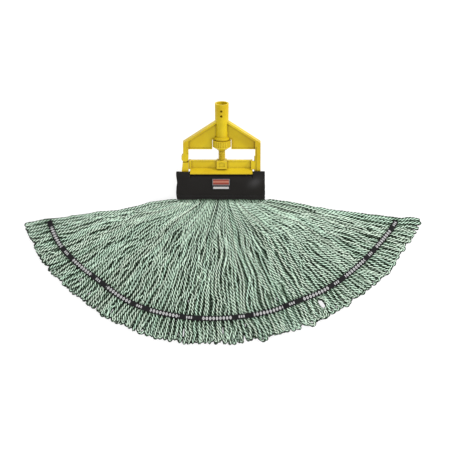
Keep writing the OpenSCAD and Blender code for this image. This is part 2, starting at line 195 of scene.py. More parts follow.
class Shader:
    """A material with a Principled surface, and a short way to write its nodes."""

    def __init__(self, name):
        self.mat = bpy.data.materials.new(name)
        self.mat.use_nodes = True
        self.tree = self.mat.node_tree
        self.tree.nodes.clear()
        output = self.tree.nodes.new("ShaderNodeOutputMaterial")
        self.bsdf = self.tree.nodes.new("ShaderNodeBsdfPrincipled")
        self.tree.links.new(self.bsdf.outputs[0], output.inputs[0])

    def put(self, socket, value):
        if isinstance(value, Field):
            self.tree.links.new(value.socket, socket)
        else:
            socket.default_value = value

    def node(self, kind, inputs, output=0, **props):
        """Adds a node, fills inputs given by name or number, and returns one output."""
        added = self.tree.nodes.new(kind)
        for key, value in props.items():
            setattr(added, key, value)
        for key, value in inputs.items():
            self.put(added.inputs[key], value)
        return Field(self, added.outputs[output])

    def surface(self, inputs):
        for key, value in inputs.items():
            self.put(self.bsdf.inputs[key], value)
        return self.mat

    def math(self, operation, *values, clamp=False):
        return self.node("ShaderNodeMath", dict(enumerate(values)),
                         operation=operation, use_clamp=clamp)

    def mix(self, factor, first, second, blend="MIX"):
        return self.node("ShaderNodeMix", {0: factor, 6: first, 7: second}, 2,
                         data_type="RGBA", blend_type=blend)

    def cover(self, under, over, mask, strength):
        """Lays a colour over another where the mask is up."""
        return self.mix(mask * strength, under, over)

    def coords(self):
        return self.node("ShaderNodeTexCoord", {}, "Object")

    def scaled(self, vector, scale):
        return self.node("ShaderNodeMapping", {0: vector, "Scale": scale})

    def noise(self, vector, scale, detail=3.0, rough=0.5):
        inputs = {"Vector": vector, "Scale": scale, "Detail": detail, "Roughness": rough}
        return self.node("ShaderNodeTexNoise", inputs, "Fac")

    def attr(self, name):
        return self.node("ShaderNodeAttribute", {}, "Fac", attribute_name=name)

    def ramp(self, value, stops):
        """stops are (position, grey level or colour), in rising order."""
        ramp = self.node("ShaderNodeValToRGB", {0: value})
        elements = ramp.socket.node.color_ramp.elements
        elements[0].position = stops[0][0]
        elements[1].position = stops[-1][0]
        for position, _ in stops[1:-1]:
            elements.new(position)
        for element, (_, level) in zip(elements, stops):
            element.color = rgba(level, level, level) if isinstance(level, float) else level
        return ramp

    def rise(self, value, start, end):
        """0 up to start, 1 from end."""
        return self.ramp(value, [(start, 0.0), (end, 1.0)])

    def edges(self, radius):
        """1 on a sharp edge, 0 on open faces."""
        rounded = self.node("ShaderNodeBevel", {"Radius": radius}, samples=6)
        true_normal = self.node("ShaderNodeNewGeometry", {}, "Normal")
        match = self.node("ShaderNodeVectorMath", {0: rounded, 1: true_normal}, "Value",
                          operation="DOT_PRODUCT")
        return self.ramp(match, [(0.80, 1.0), (0.985, 0.0)])

    def hollow(self, distance):
        """1 in a tight corner, 0 in the open."""
        openness = self.node("ShaderNodeAmbientOcclusion", {"Distance": distance}, "AO",
                             samples=6)
        return self.ramp(openness, [(0.35, 1.0), (0.95, 0.0)])

    def bump(self, height, strength, distance, normal=None):
        inputs = {"Strength": strength, "Distance": distance, "Height": height}
        if normal is not None:
            inputs["Normal"] = normal
        return self.node("ShaderNodeBump", inputs)


def rgba(r, g, b):
    return (r, g, b, 1.0)


# ---------------------------------------------------------------- materials
def yellow_plastic(name, base):
    """Moulded plastic: scuffed, paler on worn edges, with painted shade darkening the corners."""
    r, g, b = base
    light = rgba(r * 1.08, g * 1.10, b * 1.3)
    dark = rgba(r * 0.92, g * 0.86, b * 0.7)
    scuffed, wear_and_painted_sheen = rgba(0.74, 0.62, 0.20), rgba(0.80, 0.64, 0.10)
    # painted shade: the dark brown laid into tight corners
    painted_corner_shade = rgba(0.20, 0.105, 0.004)

    m = Shader(name)
    co = m.coords()
    broad = m.noise(co, scale=14.0, detail=2.0)
    fine = m.noise(co, scale=2600.0, detail=2.0)
    mid = m.noise(co, scale=240.0, detail=4.0, rough=0.6)
    streak = m.noise(m.scaled(co, (900.0, 60.0, 60.0)), scale=1.0)
    colour = m.mix(m.rise(broad, start=0.35, end=0.65), dark, light)
    scuff = m.rise(streak, start=0.60, end=0.74)
    colour = m.cover(colour, scuffed, mask=scuff, strength=0.12)
    worn = m.edges(radius=0.0013) * m.ramp(mid, [(0.38, 0.25), (0.60, 1.0)])
    colour = m.cover(colour, wear_and_painted_sheen, mask=worn, strength=0.40)
    # painted shade: the colour is darkened in tight corners and recesses, found by ambient
    # occlusion
    colour = m.cover(colour, painted_corner_shade, mask=m.hollow(distance=0.007), strength=0.80)
    normal = m.bump(fine, strength=0.10, distance=0.00025)
    normal = m.bump(mid, strength=0.12, distance=0.0006, normal=normal)
    normal = m.bump(scuff, strength=0.08, distance=0.0002, normal=normal)
    return m.surface({
        "Base Color": colour,
        "Roughness": mid.linear(gain=0.16, offset=0.34),
        "Specular IOR Level": 0.20,
        "Normal": normal,
    })


def steel_material():
    """Turned steel, with fine lines along X."""
    dark, light = rgba(0.50, 0.50, 0.51), rgba(0.66, 0.66, 0.67)
    m = Shader("steel_turned")
    co = m.coords()
    lines = m.noise(m.scaled(co, (300.0, 4000.0, 4000.0)), scale=1.0, detail=2.0)
    spots = m.noise(co, scale=400.0)
    return m.surface({
        "Base Color": m.mix(spots, dark, light),
        "Metallic": 1.0,
        "Roughness": lines.linear(gain=0.18, offset=0.24),
        "Normal": m.bump(lines, strength=0.15, distance=0.0001),
    })


def headband_material(painted_sheen_at):
    """Black woven cloth with lint, and a painted sheen: a soft lighter spot round the point given.
    """
    weave = 400.0
    base = 0.0080                                     # grey level the dark colours hang on
    groove = rgba(base * 0.42, base * 0.36, base * 0.30)
    thread = rgba(base * 1.25, base * 1.08, base * 0.92)
    dusty = rgba(base * 1.6, base * 1.42, base * 1.28)
    lint_colour, wear_and_painted_sheen = rgba(0.16, 0.17, 0.16), rgba(0.100, 0.097, 0.102)
    sheen_radius_x, sheen_radius_y, sheen_lean = 0.013, 0.011, 0.45    # the painted sheen spot's radii and its slant

    m = Shader("headband_cloth")
    co = m.coords()

    def wave(direction):
        inputs = {"Vector": m.scaled(co, (weave, weave, weave)), "Scale": 1.0, "Distortion": 0.6}
        return m.node("ShaderNodeTexWave", inputs, "Fac", wave_type="BANDS",
                      bands_direction=direction)

    woven = m.math("MAXIMUM", wave("X"), wave("Y"))
    broad = m.noise(co, scale=30.0, detail=4.0, rough=0.6)
    lint = m.rise(m.noise(co, scale=900.0, rough=0.7), start=0.66, end=0.76)
    colour = m.mix(woven, groove, thread)
    colour = m.cover(colour, dusty, mask=broad, strength=0.5)
    colour = m.cover(colour, lint_colour, mask=lint, strength=0.06)
    x = m.node("ShaderNodeSeparateXYZ", {0: co}, "X")
    y = Field(m, x.socket.node.outputs["Y"])
    dx = (x - float(painted_sheen_at[0])) / sheen_radius_x
    dy = (y - float(painted_sheen_at[1])) / sheen_radius_y
    dx = dx - dy * sheen_lean
    # painted sheen: a soft lighter spot where the cloth would catch the key light
    painted_sheen_spot = m.math("EXPONENT", (dx * dx + dy * dy) * -1.0)
    painted_sheen_spot = painted_sheen_spot * broad.linear(gain=0.8, offset=0.6)
    colour = m.cover(colour, wear_and_painted_sheen, mask=painted_sheen_spot, strength=0.30)
    normal = m.bump(woven, strength=0.35, distance=0.00022)
    return m.surface({
        "Base Color": colour,
        "Roughness": broad.linear(gain=0.18, offset=0.48 - 0.08),
        "Specular IOR Level": 0.13,
        "Sheen Weight": 0.04,
        "Sheen Roughness": 0.45,
        "Sheen Tint": rgba(0.60, 0.58, 0.62),
        "Normal": m.bump(broad, strength=0.25, distance=0.0016, normal=normal),
    })


def yarn_material():
    """Pale green twisted yarn, with painted light on the tops of its plies and painted shade that
    makes it almost black in its grooves and between strands.
    """
    m = Shader("yarn_twisted")
    co = m.coords()
    ply = m.attr("ply")          # painted light and shade: 1 where a ply faces up or down, 0 sideways or in a groove
    deep = m.attr("deep")        # painted shade: 0 low between the strands and on lower layers, 1 on top of a strand
    tint = m.attr("tint")        # one value for each strand
    fibre = m.noise(co, scale=1500.0, rough=0.7)
    fleck = m.noise(co, scale=210.0, detail=2.0)
    patch = m.noise(co, scale=38.0, rough=0.6)
    # painted light and shade: ply ridges light, grooves and low strands dark
    tone = m.ramp(ply, [(0.18, 0.0), (0.50, 0.40), (0.80, 1.0)]) * deep
    tone = tone + fibre.linear(gain=0.30, offset=-0.15)
    tone = m.math("ADD", tone, fleck.linear(gain=0.52, offset=-0.27), clamp=True)
    colour = m.ramp(tone, [
        (0.0, rgba(0.004, 0.008, 0.004)), (0.26, rgba(0.024, 0.043, 0.024)),
        (0.48, rgba(0.177, 0.262, 0.191)), (0.72, rgba(0.535, 0.693, 0.566)),
        (1.0, rgba(0.772, 0.893, 0.803))])
    warmth = m.mix(tint, rgba(0.90, 1.0, 0.94), rgba(1.03, 1.0, 0.97))
    colour = m.mix(1.0, colour, warmth, blend="MULTIPLY")
    patches = m.mix(patch, rgba(0.86, 0.86, 0.86), rgba(1.12, 1.12, 1.12))
    colour = m.mix(1.0, colour, patches, blend="MULTIPLY")
    return m.surface({
        "Base Color": colour,
        "Roughness": 0.9,
        "Specular IOR Level": 0.10,
        "Sheen Weight": 0.06,
        "Sheen Roughness": 0.5,
        "Sheen Tint": rgba(0.8, 0.9, 0.8),
        "Normal": m.bump(fibre, strength=0.55, distance=0.0007),
    })


MOTIF_REPEAT = 126.0       # mm of tape for one repeat of the woven pattern
MOTIF_CENTRE = 0.81        # where the short motif falls in a repeat


def tape_material():
    """Ribbed black tape with a pale pattern: a long run of diamonds, then three squares."""
    diamond_pitch, square_pitch, rib_pitch = 8.1, 5.5, 0.9       # mm along the tape
    warp_threads = 6.5                                           # waves in half the width
    squares_half = 1.5 * square_pitch

    m = Shader("tape_woven")
    along = m.attr("along")      # metres along the tape
    across = m.attr("across")    # -1 to 1 across it
    along_mm = along * 1000.0
    place = m.math("FRACT", along_mm / MOTIF_REPEAT)
    in_block = (place > 0.04) * (place < 0.62)

    # hollow diamonds
    cell = abs(m.math("FRACT", along_mm / diamond_pitch) - 0.5) * 2.0
    from_middle = abs(across)
    diamond = cell * 1.22 + from_middle
    mark = (diamond < 0.98) * (diamond > 0.26)
    mark = mark * (from_middle < 0.66) * in_block

    # three small squares in a row
    offset = (place - MOTIF_CENTRE) * MOTIF_REPEAT
    square = m.math("FRACT", (offset + squares_half) / square_pitch)
    squares = (abs(square - 0.5) < 0.28) * (abs(offset) < squares_half)
    mark = m.math("MAXIMUM", mark, squares * (from_middle < 0.46))

    rib = m.math("SINE", along_mm * (TURN / rib_pitch))
    warp = m.math("SINE", across * (TURN * warp_threads))
    weave = (rib * warp).linear(gain=0.5, offset=0.5)
    fuzz = m.noise(m.coords(), scale=1300.0, rough=0.7)
    black = m.mix(weave, rgba(0.005, 0.005, 0.006), rgba(0.016, 0.015, 0.016))
    pale = m.mix(weave, rgba(0.36, 0.36, 0.36), rgba(0.74, 0.74, 0.74))
    pale = m.cover(pale, rgba(0.20, 0.20, 0.20), mask=fuzz, strength=0.5)
    normal = m.bump(weave, strength=0.5, distance=0.0002)
    normal = m.bump(mark, strength=0.35, distance=0.0002, normal=normal)
    return m.surface({
        "Base Color": m.mix(mark, black, pale),
        "Roughness": 0.72,
        "Specular IOR Level": 0.14,
        "Normal": m.bump(fuzz, strength=0.3, distance=0.0003, normal=normal),
    })


def thread_material():
    dark, light = rgba(0.010, 0.010, 0.011), rgba(0.030, 0.029, 0.031)
    m = Shader("thread_dark")
    twist = m.noise(m.scaled(m.coords(), (1800.0, 1800.0, 1800.0)), scale=1.0)
    return m.surface({
        "Base Color": m.mix(twist, dark, light),
        "Roughness": 0.6,
        "Specular IOR Level": 0.18,
        "Normal": m.bump(twist, strength=0.5, distance=0.0002),
    })


def label_material():
    """A plain woven patch: red field in a pale border, and a pale bar below."""
    m = Shader("label_woven")
    across = m.attr("lx")        # -1 to 1 across
    height = m.attr("ly")        # -1 at the bottom to 1 at the top
    co = m.coords()
    columns = m.math("SINE", across * 260.0).linear(gain=0.5, offset=0.5)
    rows = m.math("SINE", height * 190.0).linear(gain=0.5, offset=0.5)
    weave = m.math("MAXIMUM", columns, rows)
    from_middle = abs(across)

    def box(half_width, bottom, top):
        return (from_middle < half_width) * ((height > bottom) * (height < top))

    field = box(half_width=0.86, bottom=-0.06, top=0.86)
    border = box(half_width=0.93, bottom=-0.20, top=0.95)
    bar = box(half_width=0.84, bottom=-0.84, top=-0.46)
    stripe = abs(height - 0.44) < 0.17                # a lighter stripe across the red field
    black = m.mix(weave, rgba(0.008, 0.008, 0.009), rgba(0.016, 0.015, 0.017))
    pale = m.mix(weave, rgba(0.20, 0.19, 0.19), rgba(0.36, 0.34, 0.34))
    red = m.mix(weave, rgba(0.17, 0.026, 0.018), rgba(0.27, 0.050, 0.034))
    red = m.mix(stripe, red, rgba(0.42, 0.150, 0.105))
    bar_colour = m.mix(weave, rgba(0.34, 0.33, 0.33), rgba(0.56, 0.54, 0.54))
    colour = m.cover(black, pale, mask=border, strength=0.55)
    colour = m.mix(field, colour, red)
    return m.surface({
        "Base Color": m.cover(colour, bar_colour, mask=bar, strength=0.95),
        "Roughness": m.noise(co, scale=300.0).linear(gain=0.2, offset=0.5),
        "Specular IOR Level": 0.2,
        "Normal": m.bump(weave, strength=0.4, distance=0.0002),
    })


def floor_material():
    m = Shader("floor_pale")
    mottle = m.noise(m.coords(), scale=3.0)
    return m.surface({
        "Base Color": m.mix(mottle, rgba(0.29, 0.29, 0.29), rgba(0.31, 0.31, 0.31)),
        "Roughness": 0.8,
        "Emission Color": rgba(1.0, 1.0, 1.0),
        "Emission Strength": 0.76,
    })


M_FRAME = yellow_plastic("plastic_frame", base=(0.565, 0.415, 0.006))
M_WHEEL = yellow_plastic("plastic_wheel", base=(0.60, 0.44, 0.010))
M_JAW = yellow_plastic("plastic_jaw", base=(0.59, 0.435, 0.008))
M_SCREW = yellow_plastic("plastic_screw", base=(0.56, 0.41, 0.008))
M_GATE = yellow_plastic("plastic_gate", base=(0.58, 0.42, 0.007))
M_LATCH = yellow_plastic("plastic_latch", base=(0.60, 0.44, 0.012))
M_STEEL = steel_material()
# the headband's painted sheen sits towards the latch end of the front cloth
M_BAND = headband_material(painted_sheen_at=clamp_point(x=0.080, out=0.0135, up=-0.021))
M_THREAD = thread_material()
M_YARN = yarn_material()
M_TAPE = tape_material()
M_LABEL = label_material()

# ---------------------------------------------------------------- the clamp's CAD parts
CLAMP_MATERIALS = {
    "frame": M_FRAME, "thumb_wheel": M_WHEEL, "clamp_jaw": M_JAW, "clamp_screw": M_SCREW,
    "side_gate": M_GATE, "gate_latch": M_LATCH,
    "gate_hinge_pin": M_SCREW, "latch_pin": M_SCREW, "thrust_washer": M_SCREW,
    "hinge_pin_washer": M_STEEL, "latch_spring": M_STEEL, "screw_cross_pin": M_STEEL,
}
EDGE_ROUNDING = {
    "frame": 0.0010, "clamp_jaw": 0.0009, "side_gate": 0.0009, "gate_latch": 0.0007,
    "thumb_wheel": 0.0005,
}


def soften(ob, width):
    """Rounds a moulded part's edges with a modifier; the CAD mesh itself isn't touched."""
    bevel = ob.modifiers.new("edge_round", "BEVEL")
    bevel.width = width
    bevel.segments = 2
    bevel.limit_method = "ANGLE"
    bevel.angle_limit = math.radians(28.0)
    bevel.harden_normals = True
    bevel.use_clamp_overlap = True


for part_name, part_material in CLAMP_MATERIALS.items():
    set_material(frame["nodes"][part_name], part_material)
for part_name, round_width in EDGE_ROUNDING.items():
    soften(frame["nodes"][part_name], round_width)

# ---------------------------------------------------------------- the yarn
# "fan" is a strand's place in the fan, -1 at the -X side to 1 at the +X side. "run" is the
# distance from the flex line: negative inside the headband, growing towards the fringe.
# "share" is run as a share of the strand's length.
N_LOOPS = 118
FAN_ANGLE = math.radians(83.0)    # direction of the outermost strands, from -Y
INSIDE = 0.030                    # how far the strands start inside the headband
BAND_AT = 0.836                   # share of the length where the tail band crosses
GAP_FAN = 0.425                   # where the fringe has parted
YARN_STEP = 0.0030
RUN_POINTS = int(round(0.38 / YARN_STEP))
LOOP_POINTS = 7   # points round the turn at the fringe

# Heights of the strand centres. Columns: share of the length, then in mm the front bank's
# outer and inner layers and the rear bank's inner and outer layers.
LAYERS = np.array([
    (0.000, 20.2, 15.2, 8.8, 4.2),
    (0.180, 18.9, 14.0, 8.4, 4.1),
    (0.450, 15.8, 11.9, 7.6, 4.2),
    (0.800, 12.2, 9.8, 7.2, 5.2),
    (0.872, 12.2, 9.8, 7.2, 5.2),
    (0.940, 12.0, 9.4, 6.8, 4.2),
    (1.000, 11.2, 8.8, 6.6, 4.1),
]).T
STATIONS = LAYERS[0]
FRONT_OUTER, FRONT_INNER, REAR_INNER, REAR_OUTER = LAYERS[1:] * MM

# A strand is a ring of plies: their number, a ply's distance from the strand's axis and its
# radius, both in strand radii, and the points round a strand.
PLIES, PLY_OFFSET, PLY_RADIUS = 4, 0.55, 0.45
STRAND_COLS = 12
PIECES = 10                       # objects a bank is split into


def band_share(fan):
    """Where the tail band crosses, as a share of the length; it wanders a little."""
    fan = np.asarray(fan, float)
    return (0.833 + 0.022 * bell(fan, -0.86, 0.12) - 0.018 * bell(fan, -0.57, 0.12)
            - 0.012 * bell(fan, 0.34, 0.09) + 0.013 * bell(fan, 1, 0.12))


def yarn_length(fan):
    return (339.0 + 35.0 * np.abs(fan) ** 5 - 31.0 * fan * (1 - fan * fan) ** 2) * MM


def root_x(fan):
    """Where a strand's straight run, carried back, meets the headband."""
    return 106.0 * MM * fan * (1.5 - 0.5 * fan * fan)


def strand_lines(fan, run, z, stack, sway, rise):
    """Centre lines, one row for each strand, from inside the headband to the fringe."""
    angle = FAN_ANGLE * fan[:, None]
    clamp_x = 0.1005 * fan[:, None]
    beyond = np.maximum(run, 0)
    fan_x = clamp_x + (root_x(fan)[:, None] - clamp_x) * smoothstep(run / 0.110)
    fan_x = fan_x + beyond * np.sin(angle) + sway * np.cos(angle)
    fan_y = np.maximum(-run, 0) - beyond * np.cos(angle) + sway * np.sin(angle)
    lowest = (3.45 + 0.70 * smoothstep(run / 0.24)) * MM      # nothing goes under the floor
    fan_points = np.stack([fan_x, fan_y, np.maximum(z + stack + rise, lowest)], -1)
    # inside the headband the strands run straight down the clamp's own plane
    out = (z - FLEX[2])[:, :1] * 0.78 + stack[:, :1] * 0.5
    band_points = FLEX + (-run)[..., None] * UP + out[..., None] * OUT
    band_points[..., 0] = clamp_x + sway * 0.15
    left_band = smoothstep((run + 0.019) / 0.036)[..., None]
    return band_points * (1 - left_band) + fan_points * left_band


def sweep(name, lines, radius, flat, pitch, tint, deep_line):
    """Twisted plied strands along the lines (strands, points, 3), split into objects."""
    strands, points, _ = lines.shape
    tangent = unit(np.gradient(lines, axis=1))
    # carry one normal along each strand without turning it
    normal = np.zeros_like(lines)
    current = np.tile(OUT, (strands, 1))
    for k in range(points):
        ahead = tangent[:, k]
        current = unit(current - (current * ahead).sum(1, keepdims=True) * ahead)
        normal[:, k] = current
    binormal = np.cross(tangent, normal)

    # each ply is a rounded bulge with a sharp groove on either side
    ply_cols = STRAND_COLS // PLIES
    ply_angle = TURN / PLIES
    col = np.arange(STRAND_COLS)
    from_ridge = ply_angle * ((col % ply_cols) / ply_cols - 0.5)
    profile = PLY_OFFSET * np.cos(from_ridge) + np.sqrt(
        np.maximum(PLY_RADIUS ** 2 - (PLY_OFFSET * np.sin(from_ridge)) ** 2, 0))
    twist = ((TURN / pitch)[:, None] * distance_along(lines))[..., None]
    angle = TURN * col / STRAND_COLS - twist
    reach = radius[..., None] * profile
    offset = ((np.cos(angle) * reach)[..., None] * normal[:, :, None, :]
              + (np.sin(angle) * reach)[..., None] * binormal[:, :, None, :])
    # strands are pressed a little flat against the floor
    flat = flat[..., None]
    offset[..., 2] *= flat
    verts = lines[:, :, None, :] + offset
    height = offset[..., 2] / (radius[..., None] + 1e-9)
    # painted shade: a strand is darker low on its sides, where it sinks between its neighbours
    deep = deep_line[..., None] * (0.06 + 0.94 * smoothstep((np.abs(height) - 0.24) / 0.50))

    # painted light and shade from the upright part of the ply's own normal, so a ply is bright
    # on its ridge and dark beside it; a groove takes the lower of its two plies
    def upright(ridge):
        centre = (np.cos(ridge) * normal[:, :, None, 2]
                  + np.sin(ridge) * binormal[:, :, None, 2]) * PLY_OFFSET * flat
        return (height - centre) * np.sign(height) / PLY_RADIUS

    ridge = ply_angle * (col // ply_cols + 0.5) - twist
    own = upright(ridge)
    groove = col % ply_cols == 0
    ply = np.clip(np.where(groove, np.minimum(own, upright(ridge - ply_angle)), own), 0.0, 1.0)
    tint = np.broadcast_to(tint[:, None, None], deep.shape)
    _, quads = tube_grid(points, STRAND_COLS)
    pieces = []
    for part, idx in enumerate(np.array_split(np.arange(strands), PIECES)):
        pieces.append(make_mesh(
            f"{name}_{part + 1:02d}", verts[idx].reshape(-1, 3),
            repeat_faces(quads, len(idx), points * STRAND_COLS), M_YARN,
            attrs={"ply": ply[idx], "deep": deep[idx], "tint": tint[idx]}))
    return pieces


def layer_lines(fan, share, run, heights, stack_gain, rank, rng):
    """The centre lines of one layer, with the strays and bends of loose yarn."""
    shape = run.shape
    fan_col = fan[:, None]
    # the dip under the tail band follows the band
    shift = (band_share(fan) - BAND_AT)[:, None]
    band_frame = share - shift * smoothstep((share - 0.60) / 0.15) * (
        1 - smoothstep((share - 0.90) / 0.08))
    z = np.interp(band_frame, STATIONS, heights)
    stack = stack_gain * rank[:, None] * 2.4 * MM * (1 - smoothstep(run / 0.19))
    grow = smoothstep(run / 0.12)
    near_band = bell(band_frame, BAND_AT, 0.05)
    sway = (1.9 * MM * smooth_noise(*shape, 60, 9, rng)
            + 1.7 * MM * smooth_noise(*shape, 117, 24, rng)
            + 5.2 * MM * smooth_noise(*shape, 14, 5, rng)) * grow * (1 - 0.5 * near_band)
    # the outermost strands lie against their neighbours, not away from them
    edge = smoothstep((np.abs(fan_col) - 0.93) / 0.07)
    sway = sway * (1 - edge) - np.sign(fan_col) * np.abs(sway) * 0.45 * edge
    # a gap in the fringe where the strands have parted
    from_gap = (fan_col - GAP_FAN) * 0.58
    part = bell(from_gap, 0, 0.018) * np.exp(-((share - 0.912) / 0.046) ** 4)
    sway = sway * (1 - part) + np.where(from_gap < 0, -1.0, 1.0) * 7.4 * MM * part
    # the outermost strands bow outwards where they leave the headband
    wide = smoothstep((np.abs(fan_col) - 0.84) / 0.16)
    leaving = smoothstep((run + 0.014) / 0.020) * (1 - smoothstep((run - 0.045) / 0.120))
    sway = sway + np.sign(fan_col) * 7.0 * MM * wide * leaving
    # at the +X side the ends bend outwards, towards +Y
    sway = sway + (6.5 * MM * smoothstep((share - 0.86) / 0.10)
                   * smoothstep((fan_col - 0.90) / 0.10))
    rise = 1.25 * MM * smooth_noise(*shape, 117, 14, rng) * grow * (1 - 0.8 * near_band)
    rise = np.maximum(rise, 4.1 * MM - z)
    return strand_lines(fan, run, z, stack, sway, rise)


def fringe_turn(going, coming):
    """A half round from the end of each outgoing line to the start of the returning one."""
    end, start = going[:, -1], coming[:, 0]
    ahead = unit(end - going[:, -3])
    reach = 0.0052 + 0.45 * np.linalg.norm(start - end, axis=1, keepdims=True)
    angle = np.linspace(0, math.pi, LOOP_POINTS + 2)[1:-1][None, :, None]
    middle, half = (end + start) / 2, (end - start) / 2
    return (middle[:, None] + np.cos(angle) * half[:, None]
            + np.sin(angle) * (ahead * reach)[:, None])


def bank(name, heights_out, heights_back, rng, fan_shift, shade_back):
    """One bank of loops: each goes out on one layer, turns and comes back on the other."""
    n = N_LOOPS
    spacing = 2.0 / n
    fan_out = -1 + spacing * (np.arange(n) + 0.5 + fan_shift) + rng.normal(0, 0.10, n) * spacing
    fan_out = np.clip(fan_out, -1.0, 1.0)
    fan_back = fan_out + spacing * 0.5 + rng.normal(0, 0.06, n) * spacing
    fan_back = np.clip(fan_back, -1.0, 1.0)
    length = yarn_length(fan_out) + rng.normal(0, 2.2, n) * MM - 0.004
    length += 0.0030 * smooth_noise(n, 1, 14, 1, rng)[:, 0]
    run = -INSIDE + (length[:, None] - 0.006 + INSIDE) * np.linspace(0, 1, RUN_POINTS)
    rank = rng.uniform(-1, 1, n)                      # a strand's place in the stack, low to high
    full_length = yarn_length(fan_out)[:, None]
    share = np.maximum(run, 0) / full_length

    going = layer_lines(fan_out, share, run, heights_out, 1.0, rank, rng)
    coming = layer_lines(fan_back, share, run, heights_back, 0.5, rank, rng)[:, ::-1]
    lines = np.concatenate([going, fringe_turn(going, coming), coming], 1)
    # round off the joins between the three stretches
    first, last = RUN_POINTS - 3, RUN_POINTS + LOOP_POINTS + 3
    for _ in range(2):
        old = lines[:, first - 1:last + 1].copy()
        lines[:, first:last] = 0.25 * old[:, :-2] + 0.5 * old[:, 1:-1] + 0.25 * old[:, 2:]

    run_all = np.concatenate([run, np.repeat(run[:, -1:], LOOP_POINTS, 1), run[:, ::-1]], 1)
    share_all = np.maximum(run_all, 0) / full_length
    radius = (3.6 + 0.85 * smoothstep(run_all / 0.24)) * MM
    radius = radius * (1 + 0.05 * smooth_noise(*run_all.shape, 117, 40, rng))
    flat = 0.86 - 0.14 * bell(share_all, band_share(fan_out)[:, None], 0.03)
    # the twist is a little tighter or looser from strand to strand
    pitch = (35.0 + rng.normal(0, 2.2, n)) * MM
    # painted shade: the returning layer, lying under the outgoing one, is darkened by shade_back,
    # and strands low in the stack are darkened near the headband
    deep = np.ones(run_all.shape)
    deep[:, RUN_POINTS + LOOP_POINTS:] = shade_back
    low = 0.5 * (1 - rank[:, None]) * (1 - smoothstep(run_all / 0.15))
    deep = deep * (1 - 0.22 * low)
    # the last few centimetres are fringe, where both layers can be seen, so the painted shade is
    # lifted there
    deep = deep + (1.0 - deep) * smoothstep((share_all - 0.90) / 0.08)
    tint = rng.uniform(0, 1, n)
    return sweep(name, lines, radius, flat, pitch, tint, deep)


front = bank("yarn_front_loops", FRONT_OUTER, FRONT_INNER, np.random.default_rng(11),
             fan_shift=0.0, shade_back=0.62)
rear = bank("yarn_rear_loops", REAR_OUTER, REAR_INNER, np.random.default_rng(23),
            fan_shift=-0.25, shade_back=0.55)
blend_start = tuple(FLEX + 0.0135 * UP)
blend_end = tuple(FLEX - 0.0110 * UP)
for piece in front + rear:
    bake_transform(piece)
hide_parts("yarn_front", "yarn_core")
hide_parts("yarn_rear")

# ---------------------------------------------------------------- the tail band and stitches
TAPE_FAN = 0.985                  # the tapes stop this far out in the fan
TAPE_POINTS = 420
TAPE_HALF = 0.00630
TAPE_THICK = 0.0009
TAPE_CROWN = 0.00030
TAPE_COLS = 9
FRONT_TAPE_Z = 0.0164
REAR_TAPE_Z = 0.0013
TAPE_STITCH = {"length": 0.0032, "radius": 0.00032}
SEAM_STITCH = {"length": 0.0028, "radius": 0.00034}
# Where the tape's short motif falls in the fan.
MOTIF_FANS = [-0.791, -0.584, -0.355, -0.137, 0.084, 0.311, 0.543, 0.771, 0.968]

# A stitch is a little spindle. Columns: place along it in lengths, then its radius and its
# lift off the cloth, both in stitch radii.
STITCH = np.array([
    (-0.50, 0.25, -0.55), (-0.42, 0.75, -0.15), (-0.20, 1.00, 0.25), (0.00, 1.00, 0.35),
    (0.20, 1.00, 0.25), (0.42, 0.75, -0.15), (0.50, 0.25, -0.55),
])
STITCH_COLS = 6


def tape(name, z, face, rng, replaced):
    """One tape across the fan; face is 1 when it looks up, -1 when it looks down.

    Returns its centre line, tangents, sideways directions, distance along and ripple."""
    n = TAPE_POINTS
    fan = np.linspace(-TAPE_FAN, TAPE_FAN, n)
    run = band_share(fan) * yarn_length(fan) + 0.0009 * smooth_noise(1, n, 1, 13, rng)[0]
    angle = FAN_ANGLE * fan
    centre = np.stack([root_x(fan) + run * np.sin(angle), -run * np.cos(angle), np.zeros(n)], 1)
    tangent = unit(np.gradient(centre, axis=0))
    side = np.stack([-tangent[:, 1], tangent[:, 0], np.zeros(n)], 1)
    dist = distance_along(centre)

    ripple = (0.00035 * smooth_noise(1, n, 1, 70, rng)[0]
              + 0.0003 * np.sin(TURN * dist / 0.0105))
    tilt = 0.0003 * np.sin(TURN * dist / 0.21 + 1.0)
    across = np.linspace(-1, 1, TAPE_COLS)
    outer = centre[:, None, :] + side[:, None, :] * (across * TAPE_HALF)[None, :, None]
    outer[..., 2] = z + face * (ripple[:, None] + TAPE_CROWN * (1 - across ** 4)
                                + tilt[:, None] * across)
    inner = outer.copy()
    inner[..., 2] -= face * TAPE_THICK
    rings = np.concatenate([outer, inner[:, ::-1]], 1)
    cols = rings.shape[1]
    grid, faces = tube_grid(n, cols)
    if face > 0:
        faces = faces[:, ::-1]
    caps = []
    for row, order in ((grid[0], 1), (grid[-1], -1)):
        for c in range(TAPE_COLS - 1):
            caps.append([row[c], row[c + 1], row[cols - 2 - c], row[cols - 1 - c]][::order])

    # the pattern's phase is a whole number at each short motif, and runs on past the ends
    first, second, *_, last_but_one, last = MOTIF_FANS
    last_phase = len(MOTIF_FANS) - 1
    phase = np.interp(fan, MOTIF_FANS, np.arange(len(MOTIF_FANS)))
    phase = np.where(fan < first, (fan - first) / (second - first), phase)
    phase = np.where(fan > last, last_phase + (fan - last) / (last - last_but_one), phase)
    ob = make_mesh(name, rings.reshape(-1, 3), np.concatenate([faces, np.array(caps)]), M_TAPE,
                   attrs={
        "along": np.repeat((phase + MOTIF_CENTRE) * (MOTIF_REPEAT * MM), cols),
        "across": np.tile(np.concatenate([across, across[::-1]]), n)})
    register(ob, "tape", "yarn", replaced)
    return centre, tangent, side, dist, ripple


